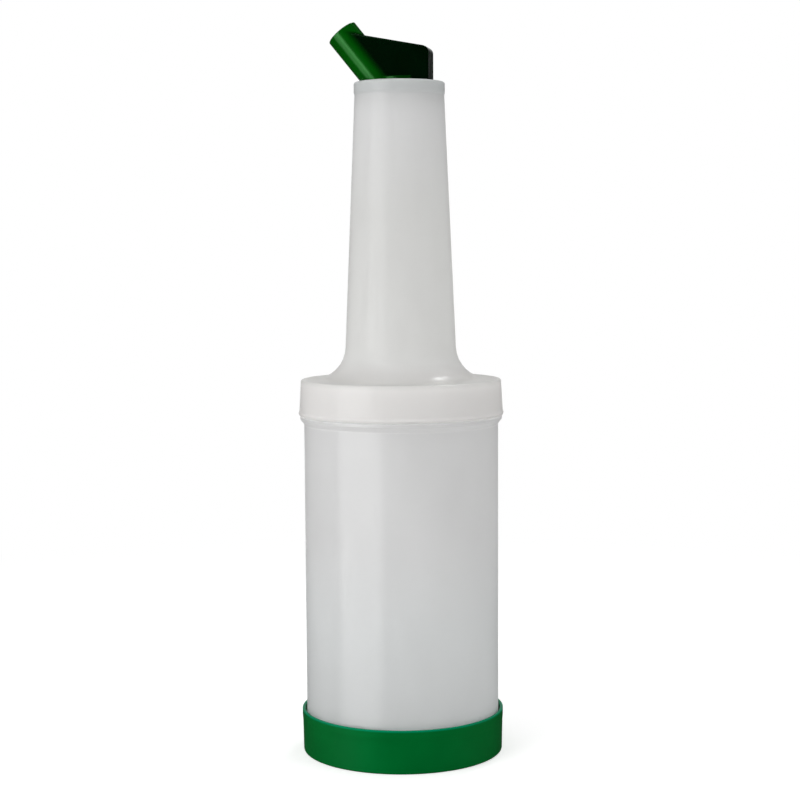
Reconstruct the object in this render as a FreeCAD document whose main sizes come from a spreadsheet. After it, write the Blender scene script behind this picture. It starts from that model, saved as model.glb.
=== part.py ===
"""One-litre store-and-pour bottle: container, long neck, pour spout and storage cap.

The bottle stands on z = 0 with its axis on Z, and the spout's tube points to -X.
From the table up: the storage cap is pushed over the foot of the container, the
neck's collar closes on the container's finish, and the spout's plug drops into a
seat in the neck's mouth.  Every size below is in millimetres, angles in degrees.
"""
import FreeCAD, Part
import os
import Sketcher
from FreeCAD import Placement, Rotation, Vector

SIZES = {
    # container: a thin blow-moulded jar
    "container_radius": 44.0,
    "container_draft": 0.15,
    "container_height": 166.6,
    "container_wall": 1.7,
    "container_floor": 1.8,
    "foot_round": 3.0,
    "finish_radius": 42.8,
    "finish_wall": 1.5,
    "finish_height": 14.7,
    "bead_overhang": 1.7,
    "bead_thickness": 1.4,
    "bead_slope": 2.2,
    # neck: a cone that flares into a flat plate and a collar
    "neck_rise": 132.8,
    "neck_wall": 1.7,
    "plate_thickness": 1.8,
    "cone_foot_radius": 25.6,
    "cone_top_radius": 20.1,
    "flare_radius": 15.0,
    "mouth_band_radius": 20.4,
    "mouth_band_height": 5.3,
    "mouth_bore_radius": 18.4,
    "seat_width": 0.6,
    "collar_height": 16.1,
    "collar_top_radius": 45.3,
    "collar_foot_radius": 46.1,
    "collar_clearance": 1.1,
    "lip_overhang": 0.4,
    "lip_height": 2.0,
    # spout: plug, angled tube and grip
    "fit_clearance": 0.15,
    "flange_thickness": 1.6,
    "skirt_depth": 9.5,
    "skirt_wall": 1.5,
    "skirt_taper": 0.6,
    "boss_radius": 9.0,
    "boss_height": 2.2,
    "tube_radius": 7.32,
    "tube_wall": 1.46,
    "tube_angle": 50.9,
    "tube_margin": 0.82,
    "tube_reach": 29.15,
    "tip_round": 0.4,
    "grip_width": 12.8,
    "grip_margin": 4.4,
    "grip_end_height": 15.1,
    "grip_slope": 10.8,
    "grip_corner": 3.0,
    "grip_wall": 1.9,
    "grip_inset": 2.5,
    "grip_round": 0.8,
    # storage cap pushed over the container's foot
    "cap_height": 19.6,
    "cap_floor": 1.6,
    "cap_gap": 0.65,
    "cap_wall": 1.35,
    "cap_taper": 0.5,
    "cap_band_height": 4.6,
    "cap_band": 0.2,
    "cap_foot_round": 0.8,
    # small moulded edges
    "edge_round": 0.45,
    "corner_round": 1.0,
}

# heights and radii that several pieces share, worked out from the sizes above
DERIVED = {
    "seat_height": "cap_floor + container_height",
    "plate_top": "seat_height + plate_thickness",
    "mouth_height": "plate_top + neck_rise",
    "collar_foot": "plate_top - collar_height",
    "bead_top": "seat_height - finish_height",
    "container_inner": "container_radius - container_wall",
    "finish_inner": "finish_radius - finish_wall",
    "cap_inner": "container_radius + cap_gap",
    "collar_inner": "finish_radius + collar_clearance",
    "seat_radius": "mouth_bore_radius + seat_width",
    "flange_radius": "seat_radius - fit_clearance",
    "skirt_radius": "mouth_bore_radius - fit_clearance",
    "flange_foot": "mouth_height - flange_thickness",
    "skirt_foot": "flange_foot - skirt_depth",
    "skirt_inner": "skirt_radius - skirt_wall",
    "tube_half_slice": "tube_radius / sin(tube_angle)",
    "tube_offset": "skirt_inner - tube_margin - tube_half_slice + flange_thickness / tan(tube_angle)",
    "grip_end": "flange_radius - grip_margin",
    "grip_top_at_axis": "mouth_height + grip_end_height + grip_end * tan(grip_slope)",
    "grip_core_drop": "grip_wall / cos(grip_slope)",
    "grip_back_at_mouth": "grip_inset / sin(tube_angle) - tube_offset",
}

doc = FreeCAD.newDocument("PourBottle")
sheet = doc.addObject("Spreadsheet::Sheet", "Sizes")


def fill_sheet():
    """Write the driving sizes as plain numbers and the shared ones as formulas, each with its alias."""
    rows = list(SIZES.items()) + [(name, "=" + rule) for name, rule in DERIVED.items()]
    for row, (name, content) in enumerate(rows, start=1):
        sheet.set(f"A{row}", name)
        sheet.set(f"B{row}", str(content))
        sheet.setAlias(f"B{row}", name)
    doc.recompute()


def value(rule):
    """The number that a rule over the sheet's names comes to."""
    return float(sheet.evalExpression(str(rule)))


def bound(rule):
    """The same rule written for an object outside the sheet, with every name led by the sheet's own."""
    words = []
    word = ""
    for letter in str(rule) + " ":
        if letter.isalnum() or letter in "_.":
            word += letter
            continue
        words.append("Sizes." + word if word in SIZES or word in DERIVED else word)
        words.append(letter)
        word = ""
    return "".join(words).strip()


def origin_plane(body, role):
    return next(feature for feature in body.Origin.OriginFeatures if feature.Role == role)


def new_sketch(body, name, role="XZ_Plane"):
    sketch = body.newObject("Sketcher::SketchObject", name)
    sketch.AttachmentSupport = [(origin_plane(body, role), "")]
    sketch.MapMode = "FlatFace"
    return sketch


def place_corner(sketch, line, corner):
    """Tie the start of a line to its two rules, measured from the sketch's origin."""
    for kind, rule in zip(("DistanceX", "DistanceY"), corner):
        index = sketch.addConstraint(Sketcher.Constraint(kind, -1, 1, line, 1, value(rule)))
        sketch.setExpression(f"Constraints[{index}]", bound(rule))


def draw_outline(sketch, corners):
    """Draw a closed outline of straight lines through corners given as pairs of rules."""
    points = [Vector(value(across), value(up), 0) for across, up in corners]
    count = len(points)
    for index, start in enumerate(points):
        sketch.addGeometry(Part.LineSegment(start, points[(index + 1) % count]), False)
    for index in range(count):
        sketch.addConstraint(Sketcher.Constraint("Coincident", index, 2, (index + 1) % count, 1))
    for index, corner in enumerate(corners):
        place_corner(sketch, index, corner)


def draw_circle(sketch, radius):
    """Draw a circle about the sketch's origin."""
    sketch.addGeometry(Part.Circle(Vector(0, 0, 0), Vector(0, 0, 1), value(radius)), False)
    sketch.addConstraint(Sketcher.Constraint("Coincident", 0, 3, -1, 1))
    index = sketch.addConstraint(Sketcher.Constraint("Radius", 0, value(radius)))
    sketch.setExpression(f"Constraints[{index}]", bound(radius))


def turn(body, name, corners, feature_type="PartDesign::Revolution"):
    """Turn an outline of (radius, height) corners a full circle about Z, as material or as a groove."""
    sketch = new_sketch(body, name + "_profile")
    draw_outline(sketch, corners)
    feature = body.newObject(feature_type, name)
    feature.Profile = sketch
    feature.ReferenceAxis = (sketch, ["V_Axis"])
    feature.Angle = 360
    sketch.Visibility = False
    doc.recompute()
    return feature


def ring_edges(shape, rings):
    """The names of the round edges about Z that lie at the given (radius, height) pairs."""
    wanted = [(value(radius), value(height)) for radius, height in rings]
    names = []
    for index, edge in enumerate(shape.Edges, start=1):
        if not isinstance(edge.Curve, Part.Circle) or abs(edge.Curve.Axis.z) < 0.999:
            continue
        here = (edge.Curve.Radius, edge.Curve.Center.z)
        if any(abs(here[0] - ring[0]) < 0.01 and abs(here[1] - ring[1]) < 0.01 for ring in wanted):
            names.append(f"Edge{index}")
    if len(names) < len(wanted):
        raise RuntimeError(f"found {len(names)} of {len(wanted)} edges to round")
    return names


def round_edges(body, name, names, radius):
    base = body.Tip
    fillet = body.newObject("PartDesign::Fillet", name)
    fillet.Base = (base, names)
    fillet.setExpression("Radius", bound(radius))
    doc.recompute()
    return fillet


def round_rings(body, name, rings, radius):
    return round_edges(body, name, ring_edges(body.Tip.Shape, rings), radius)


def make_container():
    """Open jar: straight wall, support bead on a sloping shoulder, and the finish that the neck closes on."""
    body = doc.addObject("PartDesign::Body", "container")
    foot = "cap_floor"
    foot_radius = "container_radius - container_draft"
    slope_foot = "bead_top - bead_thickness - bead_slope"
    turn(body, "jar", [
        ("0", foot),
        (foot_radius, foot),
        ("container_radius", slope_foot),
        ("container_radius + bead_overhang", "bead_top - bead_thickness"),
        ("container_radius + bead_overhang", "bead_top"),
        ("finish_radius", "bead_top"),
        ("finish_radius", "seat_height"),
        ("finish_inner", "seat_height"),
        ("finish_inner", "bead_top - bead_thickness"),
        ("container_inner", slope_foot),
        (foot_radius + " - container_wall", foot + " + container_floor"),
        ("0", foot + " + container_floor"),
    ])
    round_rings(body, "foot_outside", [(foot_radius, foot)], "foot_round")
    inner_foot = (foot_radius + " - container_wall", foot + " + container_floor")
    round_rings(body, "foot_inside", [inner_foot], "foot_round - container_wall")
    bead = "container_radius + bead_overhang"
    bead_rings = [(bead, "bead_top"), (bead, "bead_top - bead_thickness"), ("finish_radius", "bead_top")]
    round_rings(body, "bead_edges", bead_rings, "edge_round")
    round_rings(body, "finish_lip", [("finish_inner", "seat_height")], "edge_round")
    return body


def make_neck():
    """Long cone, open at both ends, that flares into a plate and a collar over the container's finish."""
    body = doc.addObject("PartDesign::Body", "neck")
    band_foot = "mouth_height - mouth_band_height"
    lip = ("collar_foot_radius + lip_overhang", "collar_foot + lip_height / 2")
    turn(body, "moulding", [
        ("collar_inner", "seat_height"),
        ("collar_inner", "collar_foot"),
        ("collar_foot_radius", "collar_foot"),
        lip,
        ("collar_foot_radius", "collar_foot + lip_height"),
        ("collar_top_radius", "plate_top"),
        ("cone_foot_radius", "plate_top"),
        ("cone_top_radius", band_foot),
        ("mouth_band_radius", band_foot),
        ("mouth_band_radius", "mouth_height"),
        ("seat_radius", "mouth_height"),
        ("seat_radius", "flange_foot"),
        ("mouth_bore_radius", "flange_foot"),
        ("cone_foot_radius - neck_wall", "seat_height"),
    ])
    round_rings(body, "flare", [("cone_foot_radius", "plate_top")], "flare_radius")
    inner_flare = [("cone_foot_radius - neck_wall", "seat_height")]
    round_rings(body, "flare_inside", inner_flare, "flare_radius + plate_thickness")
    round_rings(body, "collar_shoulder", [("collar_top_radius", "plate_top")], "corner_round")
    round_rings(body, "lip_crest", [lip], "edge_round")
    round_rings(body, "mouth_edge", [("mouth_band_radius", "mouth_height")], "corner_round")
    return body


def tube_plane(body, name):
    """A sketch square to the tube's axis, centred where the axis meets the plane of the mouth."""
    sketch = new_sketch(body, name, "XY_Plane")
    lean = value("tube_angle - 90")
    centre = Vector(-value("tube_offset"), 0, value("mouth_height"))
    sketch.AttachmentOffset = Placement(centre, Rotation(Vector(0, 1, 0), lean))
    sketch.setExpression("AttachmentOffset.Base.x", bound("-tube_offset"))
    sketch.setExpression("AttachmentOffset.Base.z", bound("mouth_height"))
    sketch.setExpression("AttachmentOffset.Rotation.Angle", bound("tube_angle - 90"))
    return sketch


def along_tube(body, name, feature_type, radius, forward, backward):
    """A round pad or pocket along the tube's axis, both ways from the plane of the mouth."""
    sketch = tube_plane(body, name + "_circle")
    draw_circle(sketch, radius)
    feature = body.newObject(feature_type, name)
    feature.Profile = sketch
    feature.SideType = "Two sides"
    feature.setExpression("Length", bound(forward))
    feature.setExpression("Length2", bound(backward))
    sketch.Visibility = False
    doc.recompute()
    return feature


def through_thickness(body, name, feature_type, corners, width):
    """A pad or pocket of a side outline, as wide on one side of the XZ plane as on the other."""
    sketch = new_sketch(body, name + "_side")
    draw_outline(sketch, corners)
    feature = body.newObject(feature_type, name)
    feature.Profile = sketch
    feature.SideType = "Symmetric"
    feature.setExpression("Length", bound(width))
    sketch.Visibility = False
    doc.recompute()
    return feature


def back_line(height):
    """Where the grip's hidden back, which runs beside the tube's axis, is at a height above the mouth."""
    return f"grip_back_at_mouth - ({height}) / tan(tube_angle)"


def grip_back_rise(drop):
    """How high above the mouth that back meets the sloping top, or a line lower by the given drop."""
    top_over_back = f"grip_top_at_axis - mouth_height - ({drop}) - grip_back_at_mouth * tan(grip_slope)"
    return f"({top_over_back}) / (1 - tan(grip_slope) / tan(tube_angle))"


def grip_corners(inset, drop, foot):
    """The grip's side outline: foot, end, sloping top, and the back that stays inside the tube."""
    end = f"grip_end - ({inset})"
    top_at_end = f"grip_top_at_axis - ({drop}) - ({end}) * tan(grip_slope)"
    rise = grip_back_rise(drop)
    return [
        (back_line(f"({foot}) - mouth_height"), foot),
        (end, foot),
        (end, top_at_end),
        (back_line(rise), f"mouth_height + {rise}"),
    ]


def upright_edges(shape, across, lowest):
    """The names of the edges that lie along Y at one X, above a height: the ends of a sloping top."""
    names = []
    for index, edge in enumerate(shape.Edges, start=1):
        box = edge.BoundBox
        if abs(box.XMin - across) < 0.01 and box.XLength < 0.01 and box.ZLength < 0.01 and box.ZMin > lowest:
            names.append(f"Edge{index}")
    return names


def grip_side_edges(shape, half_width, lowest, left):
    """The names of the grip's outer edges: those in its side faces, above a height, that reach its end."""
    names = []
    for index, edge in enumerate(shape.Edges, start=1):
        box = edge.BoundBox
        in_side = box.YLength < 0.01 and abs(abs(box.YMin) - half_width) < 0.01
        if in_side and box.ZMax > lowest + 0.5 and box.XMax > left:
            names.append(f"Edge{index}")
    return names


def tip_edge(shape):
    """The name of the round edge at the tube's free end: the highest full circle of the tube's radius."""
    circles = [
        (edge.Curve.Center.z, f"Edge{index}")
        for index, edge in enumerate(shape.Edges, start=1)
        if isinstance(edge.Curve, Part.Circle) and edge.Closed
        and abs(edge.Curve.Radius - value("tube_radius")) < 0.01
    ]
    return [max(circles)[1]]


def make_spout():
    """Plug, grip cored from below, and a bored tube that leans out of the plug: one moulding."""
    body = doc.addObject("PartDesign::Body", "spout")
    boss_top = "mouth_height + boss_height"
    turn(body, "plug", [
        ("0", "skirt_foot"),
        ("skirt_radius - skirt_taper", "skirt_foot"),
        ("skirt_radius", "flange_foot - skirt_depth / 2"),
        ("skirt_radius", "flange_foot"),
        ("flange_radius", "flange_foot"),
        ("flange_radius", "mouth_height"),
        ("boss_radius", "mouth_height"),
        ("boss_radius", boss_top),
        ("0", boss_top),
    ])
    round_rings(body, "boss_edge", [("boss_radius", boss_top)], "edge_round")
    through_thickness(body, "grip", "PartDesign::Pad", grip_corners("0", "0", "flange_foot"), "grip_width")
    top_end = upright_edges(body.Tip.Shape, value("grip_end"), value(boss_top))
    round_edges(body, "grip_nose", top_end, "grip_corner")
    core = grip_corners("grip_wall", "grip_core_drop", "flange_foot - flange_thickness")
    through_thickness(body, "grip_core", "PartDesign::Pocket", core, "grip_width - 2 * grip_wall")
    root = "(flange_thickness + tube_radius * cos(tube_angle)) / sin(tube_angle) + skirt_wall"
    along_tube(body, "tube", "PartDesign::Pad", "tube_radius", "tube_reach", root)
    turn(body, "plug_inside", [
        ("0", "skirt_foot - skirt_depth"),
        ("skirt_inner", "skirt_foot - skirt_depth"),
        ("skirt_inner", "flange_foot"),
        ("0", "flange_foot"),
    ], "PartDesign::Groove")
    bore = "tube_radius - tube_wall"
    along_tube(body, "bore", "PartDesign::Pocket", bore, "2 * tube_reach", "2 * tube_reach")
    half_width, grip_foot, ahead = value("grip_width / 2"), value(boss_top), value("boss_radius")
    side_edges = grip_side_edges(body.Tip.Shape, half_width, grip_foot, ahead)
    round_edges(body, "grip_edges", side_edges, "grip_round")
    round_edges(body, "tip_edge", tip_edge(body.Tip.Shape), "tip_round")
    return body


def make_base_cap():
    """Shallow storage cap, thicker in a band at its rim, standing open side up round the container's foot."""
    body = doc.addObject("PartDesign::Body", "base_cap")
    outer = "cap_inner + cap_wall"
    skirt = outer + " - cap_band"
    band_foot = "cap_height - cap_band_height"
    turn(body, "cap", [
        ("0", "0"),
        (outer + " - cap_taper", "0"),
        (skirt, band_foot),
        (outer, band_foot + " + 2 * cap_band"),
        (outer, "cap_height"),
        ("cap_inner", "cap_height"),
        ("cap_inner", "cap_floor"),
        ("0", "cap_floor"),
    ])
    round_rings(body, "cap_foot", [(outer + " - cap_taper", "0")], "cap_foot_round")
    round_rings(body, "cap_rim", [(outer, "cap_height"), ("cap_inner", "cap_height")], "edge_round")
    return body


def check(bodies):
    """Stop if any object failed to compute, or any piece is not one valid solid."""
    for item in doc.Objects:
        if "Invalid" in item.State or "Error" in item.State:
            raise RuntimeError(f"{item.Label} failed: {item.State}")
    for body in bodies:
        shape = body.Shape
        if shape.isNull() or not shape.isValid() or len(shape.Solids) != 1:
            raise RuntimeError(f"{body.Label} is not one valid solid")


def main():
    fill_sheet()
    bodies = [make_container(), make_neck(), make_spout(), make_base_cap()]
    doc.recompute()
    check(bodies)
    os.makedirs("parts", exist_ok=True)
    for body in bodies:
        body.Shape.exportStep(f"parts/{body.Label}.step")
        box = body.Shape.BoundBox
        print(f"{body.Label}: {body.Shape.Volume / 1000:.1f} cm3, z {box.ZMin:.2f} to {box.ZMax:.2f}")


main()
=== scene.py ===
"""One-litre store-and-pour bar bottle: natural plastic container and long neck, green pour spout and storage cap.

Metres throughout, the bottle's axis on Z, its foot on z = 0 and the spout's tube towards -X.
"""
import math

import bpy
import numpy as np
from mathutils import Euler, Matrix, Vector


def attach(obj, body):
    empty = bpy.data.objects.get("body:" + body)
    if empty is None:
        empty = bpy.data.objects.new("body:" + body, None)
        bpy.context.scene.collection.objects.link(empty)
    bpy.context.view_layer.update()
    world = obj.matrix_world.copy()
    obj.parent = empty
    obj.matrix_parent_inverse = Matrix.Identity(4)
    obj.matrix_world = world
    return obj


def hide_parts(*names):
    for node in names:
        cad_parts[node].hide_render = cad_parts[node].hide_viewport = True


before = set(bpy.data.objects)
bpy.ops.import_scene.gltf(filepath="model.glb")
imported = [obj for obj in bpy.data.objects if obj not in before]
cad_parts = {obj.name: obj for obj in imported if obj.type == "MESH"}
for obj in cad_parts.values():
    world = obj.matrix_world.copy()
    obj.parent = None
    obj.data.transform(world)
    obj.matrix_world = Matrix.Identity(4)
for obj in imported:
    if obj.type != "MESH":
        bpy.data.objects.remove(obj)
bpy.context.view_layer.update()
MM = 0.001

# ---- the base cap, in millimetres; these and the next sizes are the same named values as the solids' own ----
CAP_FLOOR, CAP_HEIGHT, CAP_INNER, CAP_WALL = 1.6, 19.6, 44.65, 1.35
CAP_TAPER, CAP_BAND, CAP_BAND_HEIGHT = 0.5, 0.2, 4.6

# ---- the container: its wall, the bead under its finish, and the finish itself ----
JAR_RADIUS, JAR_DRAFT, JAR_WALL, JAR_FLOOR = 44.0, 0.15, 1.7, 1.8
BEAD, BEAD_TOP, BEAD_THICKNESS, BEAD_SLOPE = 1.7, 153.5, 1.4, 2.2
FINISH, FINISH_INNER, SEAT = 42.8, 41.3, 168.2

# ---- the neck: its cone and mouth, the plate it flares into, and the collar ----
CONE_FOOT, CONE_TOP, FLARE, NECK_WALL = 25.6, 20.1, 15.0, 1.7
BAND, BAND_FOOT, MOUTH, BORE, SEAT_RADIUS, FLANGE_FOOT = 20.4, 297.5, 302.8, 18.4, 19.0, 301.2
PLATE_TOP, COLLAR_FOOT, COLLAR_TOP_RADIUS, COLLAR_FOOT_RADIUS, COLLAR_INNER = 170.0, 153.9, 45.3, 46.1, 43.9

# ---- the spout: degrees for its tube and grip, millimetres for the tube's place and the grip's top ----
TUBE_ANGLE, GRIP_SLOPE, TUBE_OFFSET, GRIP_TOP = 50.9, 10.8, 7.8, 320.66

# ---- how finely an outline is drawn: a sharp corner's rounding, a straight run's spacing, steps of arc and turn ----
CREASE, SPACING = 0.15, 4.0
ARC_STEPS, AROUND = 8, 192

# ---- settings and sockets that several node trees share ----
SOFT_STEP = {"interpolation_type": "SMOOTHSTEP"}
COLOUR_MIX = {"data_type": "RGBA"}
MIX_A, MIX_B, MIX_COLOUR = 6, 7, 2
WHITE = (1, 1, 1, 1)


def linear(code):
    """An sRGB hex colour as linear RGBA.

    Each channel c becomes c / 12.92 up to 0.04045, and ((c + 0.055) / 1.055) ** 2.4 above that.
    """
    channels = [int(code[i:i + 2], 16) / 255 for i in (0, 2, 4)]
    return tuple(c / 12.92 if c <= 0.04045 else ((c + 0.055) / 1.055) ** 2.4 for c in channels) + (1.0,)


def add(tree, kind, settings=None, inputs=None, stops=()):
    """Add one node: settings are its own properties, inputs are sockets set to a value or linked from another socket,
    and stops are the (position, hex colour) marks of a colour ramp."""
    node = tree.nodes.new(kind)
    for name, content in (settings or {}).items():
        setattr(node, name, content)
    for socket, content in (inputs or {}).items():
        if isinstance(content, bpy.types.NodeSocket):
            tree.links.new(content, node.inputs[socket])
        else:
            node.inputs[socket].default_value = content
    for index, (position, code) in enumerate(stops):
        marks = node.color_ramp.elements
        mark = marks[index] if index < len(marks) else marks.new(position)
        mark.position, mark.color = position, linear(code)
    return node


def new_material(name):
    """A material with an empty node tree, the tree, and its output node."""
    material = bpy.data.materials.new(name)
    material.use_nodes = True
    material.node_tree.nodes.clear()
    return material, material.node_tree, add(material.node_tree, "ShaderNodeOutputMaterial")


# ---- materials ----
def natural_plastic(name, tones, passed, gloss):
    """Unpigmented polyethylene, moulded: milky and soft-edged, since its thin walls pass much of the light they catch.

    tones are (height in mm, colour) stops: walls that stand one behind the other look denser than a single one, and
    the stops also carry painted light and shade by height, told with each table below.  passed is the share of the
    light that goes on through the wall, and gloss the specular level, which that share thins out again.  The skin
    has the slow upright waves of the mould's cooling and a satin grain.
    """
    material, tree, output = new_material(name)
    place = add(tree, "ShaderNodeTexCoord").outputs["Object"]
    height = add(tree, "ShaderNodeSeparateXYZ", inputs={"Vector": place}).outputs["Z"]
    level = add(tree, "ShaderNodeMapRange", inputs={"Value": height, "From Max": MOUTH * MM})
    tone = add(tree, "ShaderNodeValToRGB", inputs={"Fac": level.outputs["Result"]}, stops=[
        (z / MOUTH, colour) for z, colour in tones])

    # Cloudy density, 34 mm across and drawn out upwards, as the melt flowed in the mould.
    upright = add(tree, "ShaderNodeMapping", inputs={"Vector": place, "Scale": (1, 1, 0.4)}).outputs["Vector"]
    clouds = add(tree, "ShaderNodeTexNoise", inputs={"Vector": upright, "Scale": 1 / (34 * MM), "Detail": 2.0})
    shade = add(tree, "ShaderNodeValToRGB", inputs={"Fac": clouds.outputs["Fac"]}, stops=[
        (0.3, "fafafa"), (0.7, "ffffff")])
    # The height tones, painted light and shade among them, times the cloudy density.
    milk_and_painted_light = add(tree, "ShaderNodeMix", {"data_type": "RGBA", "blend_type": "MULTIPLY"}, {
        "Factor": 1.0, MIX_A: tone.outputs["Color"], MIX_B: shade.outputs["Color"]}).outputs[MIX_COLOUR]

    # Waves 17 mm across and 0.25 mm deep; the satin grain is drawn at 0.9 mm, coarser than it is, so that it shows.
    waves = add(tree, "ShaderNodeTexNoise", inputs={"Vector": upright, "Scale": 1 / (17 * MM), "Detail": 1.0})
    grain = add(tree, "ShaderNodeTexNoise", inputs={"Vector": place, "Scale": 1 / (0.9 * MM), "Detail": 3.0})
    skin = add(tree, "ShaderNodeBump", inputs={
        "Height": waves.outputs["Fac"], "Distance": 0.25 * MM, "Strength": 0.5})
    satin = add(tree, "ShaderNodeBump", inputs={
        "Height": grain.outputs["Fac"], "Distance": 0.02 * MM, "Strength": 0.5, "Normal": skin.outputs["Normal"]})
    sheen = add(tree, "ShaderNodeMapRange", inputs={
        "Value": clouds.outputs["Fac"], "To Min": 0.17, "To Max": 0.24})
    shader = add(tree, "ShaderNodeBsdfPrincipled", inputs={
        "Base Color": milk_and_painted_light, "Roughness": sheen.outputs["Result"], "IOR": 1.52, "Specular IOR Level": gloss,
        "Normal": satin.outputs["Normal"]})
    through = add(tree, "ShaderNodeBsdfTranslucent", inputs={"Color": milk_and_painted_light})
    wall = add(tree, "ShaderNodeMixShader", inputs={"Fac": passed, 1: shader.outputs[0], 2: through.outputs[0]})
    tree.links.new(wall.outputs[0], output.inputs["Surface"])
    return material


def green_plastic(name, dark, light, rim_highlight, roughness, gloss):
    """Pigmented polyethylene, injection moulded: an even strong colour with a soft gloss.

    The last millimetre of the rim is painted paler and bluer, as a painted highlight along the rim's top.  The gloss
    is tinted green, so that the pigment stays as strong under it as it looks.
    """
    material, tree, output = new_material(name)
    place = add(tree, "ShaderNodeTexCoord").outputs["Object"]
    clouds = add(tree, "ShaderNodeTexNoise", inputs={"Vector": place, "Scale": 1 / (22 * MM), "Detail": 2.0})
    tone = add(tree, "ShaderNodeValToRGB", inputs={"Fac": clouds.outputs["Fac"]}, stops=[(0.3, dark), (0.7, light)])
    height = add(tree, "ShaderNodeSeparateXYZ", inputs={"Vector": place}).outputs["Z"]
    # The mask of the rim's top millimetre, where the painted highlight goes.
    thin = add(tree, "ShaderNodeMapRange", SOFT_STEP, {
        "Value": height, "From Min": (CAP_HEIGHT - 1.1) * MM, "From Max": (CAP_HEIGHT - 0.2) * MM})
    colour = add(tree, "ShaderNodeMix", COLOUR_MIX, {
        "Factor": thin.outputs["Result"], MIX_A: tone.outputs["Color"], MIX_B: linear(rim_highlight)})
    grain = add(tree, "ShaderNodeTexNoise", inputs={"Vector": place, "Scale": 1 / (0.8 * MM), "Detail": 3.0})
    satin = add(tree, "ShaderNodeBump", inputs={
        "Height": grain.outputs["Fac"], "Distance": 0.02 * MM, "Strength": 0.5})
    shader = add(tree, "ShaderNodeBsdfPrincipled", inputs={
        "Base Color": colour.outputs[MIX_COLOUR], "Roughness": roughness, "IOR": 1.5,
        "Specular IOR Level": gloss, "Specular Tint": linear("20e090"), "Normal": satin.outputs["Normal"]})
    tree.links.new(shader.outputs["BSDF"], output.inputs["Surface"])
    return material


def spout_plastic(name, thin, thick):
    """Tinted polypropylene, injection moulded and polished: clear dark green, so that thin walls look green and the
    thick grip, which swallows the light, looks nearly black.

    thin and thick are pairs of colours for the two.  The gloss is tinted green, as a clear plastic's is where light
    comes back out of it.  Every limit between the two is soft, because light spreads in the plastic.
    """
    material, tree, output = new_material(name)
    place = add(tree, "ShaderNodeTexCoord").outputs["Object"]
    height = add(tree, "ShaderNodeSeparateXYZ", inputs={"Vector": place}).outputs["Z"]

    # The tube's own skin lies below a line along the tube, a few millimetres past its axis.
    lean = math.radians(TUBE_ANGLE)
    across = add(tree, "ShaderNodeVectorMath", {"operation": "DOT_PRODUCT"}, {
        0: place, 1: (math.sin(lean), 0, math.cos(lean))})
    axis = (-TUBE_OFFSET * math.sin(lean) + MOUTH * math.cos(lean)) * MM
    past = add(tree, "ShaderNodeMapRange", SOFT_STEP, {
        "Value": across.outputs["Value"], "From Min": axis + 0.5 * MM, "From Max": axis + 5.0 * MM})

    # The grip lies beyond that line and under its own sloping top.
    slope = math.radians(GRIP_SLOPE)
    rise = add(tree, "ShaderNodeVectorMath", {"operation": "DOT_PRODUCT"}, {
        0: place, 1: (math.sin(slope), 0, math.cos(slope))})
    top = GRIP_TOP * math.cos(slope) * MM
    under = add(tree, "ShaderNodeMapRange", SOFT_STEP, {
        "Value": rise.outputs["Value"], "From Min": top + 1.5 * MM, "From Max": top - 0.5 * MM})

    # The low boss round the tube's foot stays green: the grip starts above it, or outside it.
    above = add(tree, "ShaderNodeMapRange", SOFT_STEP, {
        "Value": height, "From Min": (MOUTH + 1.6) * MM, "From Max": (MOUTH + 2.8) * MM})
    flat = add(tree, "ShaderNodeVectorMath", {"operation": "MULTIPLY"}, {0: place, 1: (1, 1, 0)})
    radius = add(tree, "ShaderNodeVectorMath", {"operation": "LENGTH"}, {0: flat.outputs["Vector"]})
    outside = add(tree, "ShaderNodeMapRange", SOFT_STEP, {
        "Value": radius.outputs["Value"], "From Min": 8.6 * MM, "From Max": 9.4 * MM})
    beyond = add(tree, "ShaderNodeMath", {"operation": "MAXIMUM"}, {0: above.outputs[0], 1: outside.outputs[0]})

    # Painted shade: the flange and the plug below it, sunk in the neck's mouth, are painted nearly as dark as the
    # grip.
    sunk_painted_shade = add(tree, "ShaderNodeMapRange", SOFT_STEP, {
        "Value": height, "From Min": (MOUTH + 0.5) * MM, "From Max": (MOUTH + 0.15) * MM, "To Max": 0.9})
    grip = add(tree, "ShaderNodeMath", {"operation": "MULTIPLY"}, {0: past.outputs[0], 1: under.outputs[0]})
    grip = add(tree, "ShaderNodeMath", {"operation": "MULTIPLY"}, {0: grip.outputs[0], 1: beyond.outputs[0]})
    grip = add(tree, "ShaderNodeMath", {"operation": "MAXIMUM"}, {0: grip.outputs[0], 1: sunk_painted_shade.outputs[0]})

    # Flow streaks 9 mm across in both colours, and shallow sink marks 7 mm across under the polish.
    streaks = add(tree, "ShaderNodeTexNoise", inputs={"Vector": place, "Scale": 1 / (9 * MM), "Detail": 2.0})
    glow = add(tree, "ShaderNodeValToRGB", inputs={"Fac": streaks.outputs["Fac"]}, stops=[
        (0.3, thin[0]), (0.7, thin[1])])
    depth = add(tree, "ShaderNodeValToRGB", inputs={"Fac": streaks.outputs["Fac"]}, stops=[
        (0.3, thick[0]), (0.7, thick[1])])
    tone = add(tree, "ShaderNodeMix", COLOUR_MIX, {
        "Factor": grip.outputs[0], MIX_A: glow.outputs["Color"], MIX_B: depth.outputs["Color"]})
    sink = add(tree, "ShaderNodeTexNoise", inputs={"Vector": place, "Scale": 1 / (7 * MM), "Detail": 1.0})
    skin = add(tree, "ShaderNodeBump", inputs={"Height": sink.outputs["Fac"], "Distance": 0.12 * MM, "Strength": 0.5})
    polish = add(tree, "ShaderNodeMapRange", inputs={"Value": grip.outputs[0], "To Min": 0.2, "To Max": 0.1})
    shader = add(tree, "ShaderNodeBsdfPrincipled", inputs={
        "Base Color": tone.outputs[MIX_COLOUR], "Roughness": polish.outputs["Result"], "IOR": 1.49,
        "Specular Tint": linear("9affa2"), "Normal": skin.outputs["Normal"]})
    tree.links.new(shader.outputs["BSDF"], output.inputs["Surface"])
    return material


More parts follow.
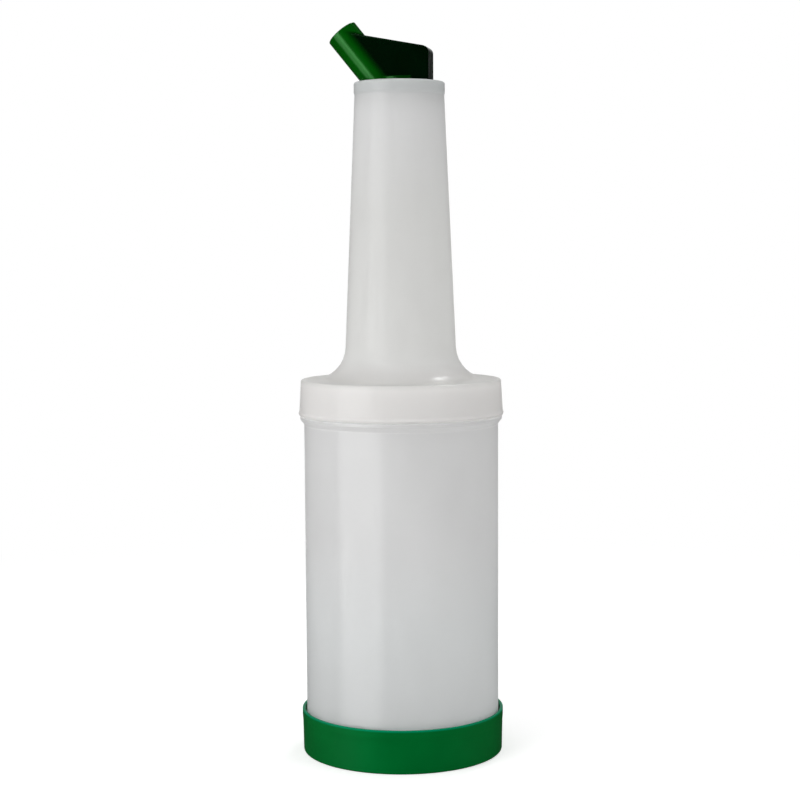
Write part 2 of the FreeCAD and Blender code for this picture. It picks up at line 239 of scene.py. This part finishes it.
# ---- surfaces ----
def soften(corners, closed):
    """The outline through (radius, height, rounding) corners, with an arc in place of each corner.

    The unit directions a and b run from a corner to its neighbours, h is half the angle between them and q the
    rounding: the arc's centre lies q / sin(h) along the sum of a and b, and its ends q / tan(h) along each.  A point
    of the arc is the centre plus q times the two end spokes mixed as sin((1 - s) w) and sin(s w), over sin(w), where
    w is the angle the arc turns through.  Straight runs then get a point every few millimetres of length.
    """
    corners = np.array(corners, float)
    place, rounding = corners[:, :2], np.maximum(corners[:, 2:], CREASE)
    back, ahead = np.roll(place, 1, 0) - place, np.roll(place, -1, 0) - place
    a = back / np.linalg.norm(back, axis=1, keepdims=True)
    b = ahead / np.linalg.norm(ahead, axis=1, keepdims=True)
    half = np.arccos(np.clip((a * b).sum(1, keepdims=True), -1, 1)) / 2
    centre = place + (a + b) / np.linalg.norm(a + b, axis=1, keepdims=True) * rounding / np.sin(half)
    reach = rounding / np.tan(half)
    first, last = (place + a * reach - centre) / rounding, (place + b * reach - centre) / rounding
    sweep = (np.pi - 2 * half)[:, None]
    share = np.linspace(0, 1, ARC_STEPS + 1)[None, :, None]
    spokes = (np.sin((1 - share) * sweep) * first[:, None] + np.sin(share * sweep) * last[:, None]) / np.sin(sweep)
    arcs = centre[:, None] + rounding[:, None] * spokes
    if closed:
        line = np.concatenate([arcs.reshape(-1, 2), arcs[:1, 0]])
    else:
        line = np.concatenate([place[:1], arcs[1:-1].reshape(-1, 2), place[-1:]])
    length = np.concatenate([[0], np.cumsum(np.linalg.norm(np.diff(line, axis=0), axis=1))])
    even = np.arange(SPACING / 2, length[-1], SPACING)
    gap = np.abs(even[:, None] - length[None, :]).min(1)
    stations = np.sort(np.concatenate([length, even[gap > SPACING / 5]]))
    line = np.stack([np.interp(stations, length, line[:, axis]) for axis in (0, 1)], 1)
    return line[:-1] if closed else line


def turned(name, corners, closed):
    """A piece turned about Z: (r, z) of the outline at angle t goes to (r cos t, r sin t, z).

    A closed outline gives a ring; an open one starts and ends on the axis, where one point closes each pole.
    """
    line = soften(corners, closed) * MM
    angle = np.linspace(0, 2 * np.pi, AROUND, endpoint=False)
    rows = line if closed else line[1:-1]
    ring = np.stack([rows[:, :1] * np.cos(angle), rows[:, :1] * np.sin(angle), rows[:, 1:] + 0 * angle], 2)
    points = ring.reshape(-1, 3)
    here = np.arange(len(rows))[:, None] * AROUND + np.arange(AROUND)
    beside = np.roll(here, -1, 1)
    above, above_beside = np.roll(here, -1, 0), np.roll(beside, -1, 0)
    used = slice(None) if closed else slice(0, -1)
    quads = np.stack([here, beside, above_beside, above], 2)[used].reshape(-1, 4)
    faces = quads.tolist()
    if not closed:
        points = np.concatenate([points, [[0, 0, line[0, 1]], [0, 0, line[-1, 1]]]])
        start, end = len(points) - 2, len(points) - 1
        faces += np.stack([np.full(AROUND, start), beside[0], here[0]], 1).tolist()
        faces += np.stack([np.full(AROUND, end), here[-1], beside[-1]], 1).tolist()
    mesh = bpy.data.meshes.new(name)
    mesh.from_pydata(points.tolist(), [], faces)
    mesh.shade_smooth()
    piece = bpy.data.objects.new(name, mesh)
    bpy.context.scene.collection.objects.link(piece)
    weighted = piece.modifiers.new("flat_faces_stay_flat", "WEIGHTED_NORMAL")
    weighted.keep_sharp = True
    return piece


def make_container():
    """Open jar, turned from a line that runs from the axis up the outside and back down the inside: a nearly straight
    wall, a bead on a short slope, and the thinner finish inside the collar."""
    foot, slope = CAP_FLOOR, BEAD_TOP - BEAD_THICKNESS - BEAD_SLOPE
    return turned("container_jar", [
        (0, foot, 0),
        (JAR_RADIUS - JAR_DRAFT, foot, 3.0),
        (JAR_RADIUS, slope, 0.6),
        (JAR_RADIUS + BEAD, BEAD_TOP - BEAD_THICKNESS, 0.45),
        (JAR_RADIUS + BEAD, BEAD_TOP, 0.45),
        (FINISH, BEAD_TOP, 0.45),
        (FINISH, SEAT, 0.2),
        (FINISH_INNER, SEAT, 0.45),
        (FINISH_INNER, BEAD_TOP - BEAD_THICKNESS, 0.8),
        (JAR_RADIUS - JAR_WALL, slope, 0.8),
        (JAR_RADIUS - JAR_DRAFT - JAR_WALL, foot + JAR_FLOOR, 1.3),
        (0, foot + JAR_FLOOR, 0),
    ], closed=False)


def make_neck():
    """Long cone, open at both ends, turned from one closed line: it flares into a plate and the collar that closes on
    the jar.  The mouth band's step is spread over a millimetre of height."""
    return turned("neck_cone", [
        (COLLAR_INNER, SEAT, 0.3),
        (COLLAR_INNER, COLLAR_FOOT, 0.2),
        (COLLAR_FOOT_RADIUS, COLLAR_FOOT, 0.2),
        (COLLAR_FOOT_RADIUS + 0.4, COLLAR_FOOT + 1.0, 0.45),
        (COLLAR_FOOT_RADIUS, COLLAR_FOOT + 2.0, 0.2),
        (COLLAR_TOP_RADIUS, PLATE_TOP, 1.0),
        (CONE_FOOT, PLATE_TOP, FLARE),
        (CONE_TOP, BAND_FOOT - 0.4, 1.2),
        (BAND, BAND_FOOT + 0.6, 1.2),
        (BAND, MOUTH, 1.0),
        (SEAT_RADIUS, MOUTH, 0.15),
        (SEAT_RADIUS, FLANGE_FOOT, 0.15),
        (BORE, FLANGE_FOOT, 0.15),
        (CONE_FOOT - NECK_WALL, SEAT, FLARE + 1.8),
    ], closed=True)


def make_base_cap():
    """Shallow storage cap, pushed over the jar's foot, turned from a line that runs from the axis round the outside
    and back along the inside: a tapered skirt that swells softly into a slightly proud band at the rim."""
    outer = CAP_INNER + CAP_WALL
    band_foot = CAP_HEIGHT - CAP_BAND_HEIGHT
    return turned("storage_cap", [
        (0, 0, 0),
        (outer - CAP_TAPER, 0, 0.8),
        (outer - CAP_BAND, band_foot - 1.0, 8.0),
        (outer, band_foot + 1.4, 8.0),
        (outer, CAP_HEIGHT, 0.45),
        (CAP_INNER, CAP_HEIGHT, 0.45),
        (CAP_INNER, CAP_FLOOR, 0.5),
        (0, CAP_FLOOR, 0),
    ], closed=False)


# ---- the finishes, and which piece carries which; heights in millimetres ----
# Painted light by height: the slope under the bead faces down into shade and is painted white to lift it, and the bead
# above it, which catches the light, is painted a little darker.  Lower down, the wall turns darker and cooler towards
# the bottom.
CONTAINER_TONES_AND_PAINTED_LIGHT = [
    (0, "eaecec"), (25, "eeefef"), (60, "f0f1f1"), (100, "f1f1f1"), (140, "f1f1f1"), (149.2, "f1f1f1"),
    (150, "ffffff"), (151.5, "ffffff"), (152.3, "efefef"), (154, "efefef")]
# The collar is lighter where its wall stands over the jar's finish.  Painted shade: the plate's top and the foot of
# the flare are painted darker, as less light falls on them, and the mouth band is painted darker and cooler, as
# painted shade of the plug seen through the wall.
NECK_TONES_AND_PAINTED_SHADE = [
    (153, "f7f6f5"), (168, "f7f6f5"), (169.6, "efefed"), (172, "efeeed"), (178, "f2f2f1"), (245, "efefee"),
    (285, "f1f1f1"), (296, "f1f1f1"), (298.5, "e9ebeb"), (303, "e7e9e9")]


def dress():
    """Make the three turned pieces in place of their solids, and give all four their finish."""
    finishes = {
        "container": natural_plastic("natural_polyethylene_container", CONTAINER_TONES_AND_PAINTED_LIGHT, passed=0.55, gloss=1.0),
        "neck": natural_plastic("natural_polyethylene_neck", NECK_TONES_AND_PAINTED_SHADE, passed=0.5, gloss=0.4),
        # The cap's third colour is the painted highlight along its rim.
        "base_cap": green_plastic("green_polyethylene_cap", "006226", "00692a", "008a60", roughness=0.4, gloss=0.3),
        "spout": spout_plastic("tinted_green_polypropylene", ("004a02", "005405"), ("000a01", "000e03")),
    }
    for node, make in (("container", make_container), ("neck", make_neck), ("base_cap", make_base_cap)):
        piece = make()
        piece.data.materials.append(finishes[node])
        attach(piece, "root")
        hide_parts(node)
    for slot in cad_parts["spout"].material_slots:
        slot.material = finishes["spout"]


# ---- camera: its turn from -Y towards +X, its tilt down, its roll, its distance from the axis and its height ----
CAMERA_TURN, CAMERA_TILT, CAMERA_ROLL = math.radians(12), math.radians(4.8), math.radians(0.33)
CAMERA_REACH, CAMERA_HEIGHT = 0.81393, 0.22864
LENS, SENSOR, SHIFT = 81.0, 36, -1.05 / 800


def set_camera():
    """One camera, a little above the bottle's middle, tilted slightly down."""
    data = bpy.data.cameras.new("view")
    data.lens, data.sensor_width, data.shift_x = LENS, SENSOR, SHIFT
    data.clip_start = 0.01
    camera = bpy.data.objects.new("view", data)
    bpy.context.scene.collection.objects.link(camera)
    camera.location = (CAMERA_REACH * math.sin(CAMERA_TURN), -CAMERA_REACH * math.cos(CAMERA_TURN), CAMERA_HEIGHT)
    aim = Euler((math.pi / 2 - CAMERA_TILT, 0, CAMERA_TURN)).to_matrix()
    camera.rotation_euler = (aim @ Euler((0, 0, -CAMERA_ROLL)).to_matrix()).to_euler()
    bpy.context.scene.camera = camera


# ---- light: the height that the lamps aim at, and the room that gloss mirrors.  The backdrop and the card each lie
# round one direction, with edges given as cosines of the angle from it, and the card ends at a height of it ----
AIM_HEIGHT = 0.16
BACKDROP, BACKDROP_EDGE, BACKDROP_FULL = (-0.208, 0.978, 0.0), 0.905, 0.998
BACKDROP_DIM, BACKDROP_LEVEL = 0.02, 0.7
CARD_TURN, CARD_EDGE, CARD_FULL, CARD_LEVEL = math.radians(-38), 0.83, 0.92, 2.4
CARD_TOP, CARD_TOP_FULL = 0.02, -0.05
AMBIENT = 0.47


def softbox(name, bearing, reach, height, width, tall, power, mirrored=True):
    """A rectangular lamp at a bearing, in degrees from -Y towards +X, aimed at the bottle's middle; one that isn't
    mirrored leaves no glint."""
    data = bpy.data.lights.new(name, "AREA")
    data.shape, data.size, data.size_y, data.energy = "RECTANGLE", width, tall, power
    lamp = bpy.data.objects.new(name, data)
    bpy.context.scene.collection.objects.link(lamp)
    turn = math.radians(bearing)
    lamp.location = (reach * math.sin(turn), -reach * math.cos(turn), height)
    lamp.rotation_euler = (Vector((0, 0, AIM_HEIGHT)) - lamp.location).to_track_quat("-Z", "Y").to_euler()
    lamp.visible_glossy = mirrored


def set_studio():
    """A pale room, plain white to the eye.

    The key light and the one over it stand on the left, a weaker one fills the right, and a small one high behind
    makes the spark on the plate.  Gloss mirrors a dim room with the white backdrop behind the bottle and one white
    card low on the left.
    """
    softbox("key", -42, 1.3, 0.50, 1.0, 0.8, 6.6)
    softbox("overhead", -37, 0.9, 1.08, 0.9, 0.35, 2.4)
    softbox("fill", 75, 1.6, 0.4, 0.8, 1.2, 7.2, mirrored=False)
    softbox("spark", 168, 0.9, 1.3, 0.3, 0.3, 3.0)
    world = bpy.data.worlds.new("studio")
    bpy.context.scene.world = world
    world.use_nodes = True
    tree = world.node_tree
    tree.nodes.clear()
    path = add(tree, "ShaderNodeLightPath")
    direction = add(tree, "ShaderNodeTexCoord").outputs["Generated"]
    seen = add(tree, "ShaderNodeMath", {"operation": "MAXIMUM"}, {
        0: path.outputs["Is Camera Ray"], 1: path.outputs["Is Transmission Ray"]})

    facing = add(tree, "ShaderNodeVectorMath", {"operation": "DOT_PRODUCT"}, {0: direction, 1: BACKDROP})
    backdrop = add(tree, "ShaderNodeMapRange", SOFT_STEP, {
        "Value": facing.outputs["Value"], "From Min": BACKDROP_EDGE, "From Max": BACKDROP_FULL,
        "To Min": BACKDROP_DIM, "To Max": BACKDROP_LEVEL})
    card_facing = add(tree, "ShaderNodeVectorMath", {"operation": "DOT_PRODUCT"}, {
        0: direction, 1: (math.sin(CARD_TURN), -math.cos(CARD_TURN), 0.0)})
    card_width = add(tree, "ShaderNodeMapRange", SOFT_STEP, {
        "Value": card_facing.outputs["Value"], "From Min": CARD_EDGE, "From Max": CARD_FULL, "To Max": CARD_LEVEL})
    up = add(tree, "ShaderNodeSeparateXYZ", inputs={"Vector": direction}).outputs["Z"]
    card_top = add(tree, "ShaderNodeMapRange", SOFT_STEP, {
        "Value": up, "From Min": CARD_TOP, "From Max": CARD_TOP_FULL})
    card = add(tree, "ShaderNodeMath", {"operation": "MULTIPLY"}, {0: card_width.outputs[0], 1: card_top.outputs[0]})
    around = add(tree, "ShaderNodeMath", {"operation": "ADD"}, {0: backdrop.outputs[0], 1: card.outputs[0]})
    mirrored = add(tree, "ShaderNodeMath", {"operation": "MULTIPLY"}, {
        0: path.outputs["Is Glossy Ray"], 1: around.outputs[0]})

    white = add(tree, "ShaderNodeMath", {"operation": "ADD"}, {0: seen.outputs[0], 1: mirrored.outputs[0]})
    ambient = add(tree, "ShaderNodeMath", {"operation": "MULTIPLY"}, {
        0: path.outputs["Is Diffuse Ray"], 1: AMBIENT})
    level = add(tree, "ShaderNodeMath", {"operation": "ADD"}, {0: white.outputs[0], 1: ambient.outputs[0]})
    light = add(tree, "ShaderNodeBackground", inputs={"Color": WHITE, "Strength": level.outputs[0]})
    add(tree, "ShaderNodeOutputWorld", inputs={"Surface": light.outputs[0]})


# ---- floor: metres for its radius and for where it fades into the white, and the strength of its own white ----
FLOOR_RADIUS, FLOOR_SIDES = 1.5, 96
FLOOR_GLOW, FADE_START, FADE_END = 0.52, 0.2, 0.6
FLOOR_BOUNCE = (0.7, 0.7, 0.7, 1)


def set_floor():
    """A round white table top: its rim's point at angle t is (r cos t, r sin t, 0).

    Seen directly it holds the bottle's shadow and fades with distance into the white beyond it.  To the bottle it is
    a plain grey paper that bounces light, and gloss doesn't mirror it.
    """
    angles = np.linspace(0, 2 * np.pi, FLOOR_SIDES + 1)[:-1]
    points = np.stack([
        FLOOR_RADIUS * np.cos(angles), FLOOR_RADIUS * np.sin(angles), np.zeros(FLOOR_SIDES)], 1)
    mesh = bpy.data.meshes.new("table_top")
    mesh.from_pydata(points.tolist(), [], [list(range(FLOOR_SIDES))])
    floor = bpy.data.objects.new("table_top", mesh)
    bpy.context.scene.collection.objects.link(floor)

    material, tree, output = new_material("white_table_paper")
    place = add(tree, "ShaderNodeTexCoord").outputs["Object"]
    fleck = add(tree, "ShaderNodeTexNoise", inputs={"Vector": place, "Scale": 1 / (3 * MM), "Detail": 2.0})
    paper = add(tree, "ShaderNodeValToRGB", inputs={"Fac": fleck.outputs["Fac"]}, stops=[
        (0.3, "e3e3e3"), (0.7, "e7e7e7")])
    diffuse = add(tree, "ShaderNodeBsdfDiffuse", inputs={"Color": paper.outputs["Color"]})
    glow = add(tree, "ShaderNodeEmission", inputs={"Color": WHITE, "Strength": FLOOR_GLOW})
    both = add(tree, "ShaderNodeAddShader", inputs={0: diffuse.outputs[0], 1: glow.outputs[0]})
    bright = add(tree, "ShaderNodeEmission", inputs={"Color": WHITE, "Strength": 1.0})
    reach = add(tree, "ShaderNodeVectorMath", {"operation": "LENGTH"}, {0: place})
    fade = add(tree, "ShaderNodeMapRange", SOFT_STEP, {
        "Value": reach.outputs["Value"], "From Min": FADE_START, "From Max": FADE_END})
    seen = add(tree, "ShaderNodeMixShader", inputs={
        "Fac": fade.outputs["Result"], 1: both.outputs[0], 2: bright.outputs[0]})

    path = add(tree, "ShaderNodeLightPath")
    eye_or_through = add(tree, "ShaderNodeMath", {"operation": "MAXIMUM"}, {
        0: path.outputs["Is Camera Ray"], 1: path.outputs["Is Transmission Ray"]})
    bounce = add(tree, "ShaderNodeBsdfDiffuse", inputs={"Color": FLOOR_BOUNCE})
    surface = add(tree, "ShaderNodeMixShader", inputs={
        "Fac": eye_or_through.outputs[0], 1: bounce.outputs[0], 2: seen.outputs[0]})
    clear = add(tree, "ShaderNodeBsdfTransparent")
    unmirrored = add(tree, "ShaderNodeMixShader", inputs={
        "Fac": path.outputs["Is Glossy Ray"], 1: surface.outputs[0], 2: clear.outputs[0]})
    tree.links.new(unmirrored.outputs[0], output.inputs["Surface"])
    mesh.materials.append(material)


set_camera()
dress()
set_studio()
set_floor()
bpy.context.scene.view_settings.view_transform = "Standard"
